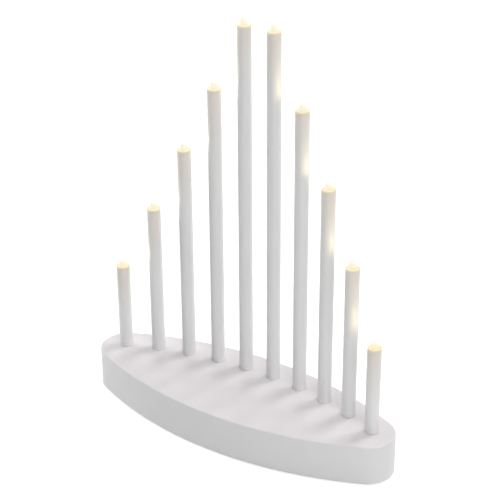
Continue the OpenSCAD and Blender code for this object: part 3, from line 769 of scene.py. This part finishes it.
def soft_box(name, azimuth, elevation, distance, size, power):
    """A square soft box that looks at the part."""
    data = bpy.data.lights.new(name, "AREA")
    data.size = size
    data.energy = power
    light = link(bpy.data.objects.new(name, data))
    way = towards_viewer(azimuth, elevation)
    light.location = Vector((0, 0, AIM_HEIGHT)) + way * distance
    light.rotation_euler = way.to_track_quat("Z", "Y").to_euler()


def lamp_light(i, tip, neighbour):
    """What a lamp throws on the next tube towards the middle of the row."""
    data = bpy.data.lights.new("lamp_light_%d" % i, "SPOT")
    data.energy = LAMP_POWER
    data.color = LAMP_COLOR
    data.spot_size = math.radians(LAMP_BEAM)
    data.spot_blend = 1.0
    data.shadow_soft_size = LAMP_SOURCE * MM
    light = link(bpy.data.objects.new("lamp_light_%d" % i, data))
    light.location = tip - Vector((0, 0, LAMP_CENTRE * MM))
    way = Vector((neighbour[0] - tip[0], neighbour[1] - tip[1], 0)).normalized()
    way.z = math.tan(math.radians(LAMP_TILT))
    light.rotation_euler = way.to_track_quat("-Z", "Y").to_euler()
    light.visible_camera = False
    light.visible_transmission = False


# The whole part

def row_of_lamps(tin):
    """Paints the tubes and their holders, and makes the lamps and their light."""
    holder, epoxy, glow = lit_holder(), lamp_epoxy(), lamp_glow()
    middle = TUBE_COUNT // 2
    paints, tips = {}, {}
    for i in TUBES:
        level = min(i, TUBE_COUNT + 1 - i)
        if level not in paints:
            paints[level] = tube_paint("tube_paint_%d" % level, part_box("candle_tube_%d" % i)[1][2])
        paint_on(NODES["candle_tube_%d" % i], paints[level])
        paint_on(NODES["led_holder_%d" % i], holder)
        tips[i] = lamp(i, epoxy, glow, tin)
    for i in TUBES:
        lamp_light(i, tips[i], tips[i + 1 if i <= middle else i - 1])


def power_pieces(nickel):
    """Cells and springs in the battery bay."""
    ink = plastic("cell_print", (0.82, 0.82, 0.80), 0.4, 1500, 0.04)
    ring = plastic("cell_ring", (0.78, 0.78, 0.74), 0.5, 1500)
    for k in CELLS:
        cell(k, nickel, ink, ring)
    coils = [spring(k, nickel) for k in CELLS]
    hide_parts("contact_springs")


def board_pieces(tin):
    """What stands on the control board."""
    chip_pieces(plastic("chip_black", (0.018, 0.018, 0.02), 0.5, 2500), tin)
    can_pieces(tin)
    resistor_pieces(plastic("resistor_black", (0.02, 0.02, 0.022), 0.3, 2500), tin)
    solder_pads(tin)


def underside_pieces(case):
    switch_words(plastic("dark_print", (0.05, 0.05, 0.055), 0.5, 2200, 0.2))
    door_grip(case)
    door_arrow(case)


def paint_nodes(case, nickel):
    """Paints the CAD nodes that show as they are."""
    red = plastic("red_insulation", (0.52, 0.03, 0.025), 0.38, 900)
    zinc = metal("zinc_plate", (0.64, 0.65, 0.67), 0.34, 1200)
    finishes = {
        "base_shell": case,
        "base_cover": case,
        "battery_door": case,
        "output_contact_positive": nickel,
        "output_contact_negative": nickel,
        "bridge_contact_left": nickel,
        "bridge_contact_right": nickel,
        "control_board": board_mask(),
        "switch_body": metal("switch_sheet", (0.68, 0.68, 0.68), 0.28, 700, (1, 8, 8)),
        "switch_knob": plastic("knob_black", (0.025, 0.025, 0.028), 0.42, 1800),
        "positive_wiring": red,
        "negative_wiring": plastic("black_insulation", (0.02, 0.02, 0.02), 0.38, 900),
        "battery_leads": red,
        "cover_screws": zinc,
        "board_screws": zinc,
        "feet": rubber("foot_rubber", (0.20, 0.20, 0.205))}
    for node, paint in finishes.items():
        paint_on(NODES[node], paint)


make_camera()
case_white = case_plastic()
nickel_plate = metal("nickel_plate", (0.74, 0.73, 0.70), 0.22)
tinned = metal("tinned", (0.72, 0.72, 0.71), 0.32, 1600)
row_of_lamps(tinned)
paint_nodes(case_white, nickel_plate)
power_pieces(nickel_plate)
board_pieces(tinned)
underside_pieces(case_white)
floor()
world_light()
for box in SOFT_BOXES:
    soft_box(*box)
SCENE.view_settings.view_transform = "Standard"
